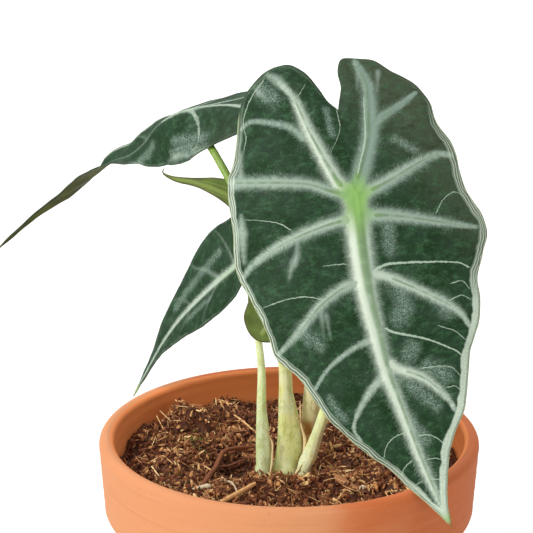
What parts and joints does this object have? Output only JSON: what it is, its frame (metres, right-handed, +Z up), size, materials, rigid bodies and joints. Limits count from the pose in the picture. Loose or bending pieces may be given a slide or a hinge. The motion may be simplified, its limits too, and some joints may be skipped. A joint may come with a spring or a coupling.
{
  "type": "potted alocasia",
  "caption": "Potted alocasia: arrow-shaped dark green leaves with pale veins on upright stalks, standing in potting mix in a plain round terracotta pot.",
  "frame": {"origin": "centre of the pot's underside, on the pot's axis", "axes": "+Z up along the pot's axis, -Y towards the viewer and the large front leaf, -X towards the side that the high leaf arches to"},
  "size_m": [0.1977, 0.15, 0.2864],
  "materials": {
    "terracotta": "matte",
    "coir_soil": "matte",
    "blade_green": "satin",
    "petiole_green": "satin"
  },
  "bodies": {
    "root": {"pot": "terracotta", "soil": "coir_soil", "front_leaf_blade": "blade_green", "high_leaf_blade": "blade_green", "low_leaf_blade": "blade_green", "back_leaf_blade": "blade_green", "front_leaf_petiole": "petiole_green", "high_leaf_petiole": "petiole_green", "low_leaf_petiole": "petiole_green", "back_leaf_petiole": "petiole_green"}
  },
  "joints": []
}
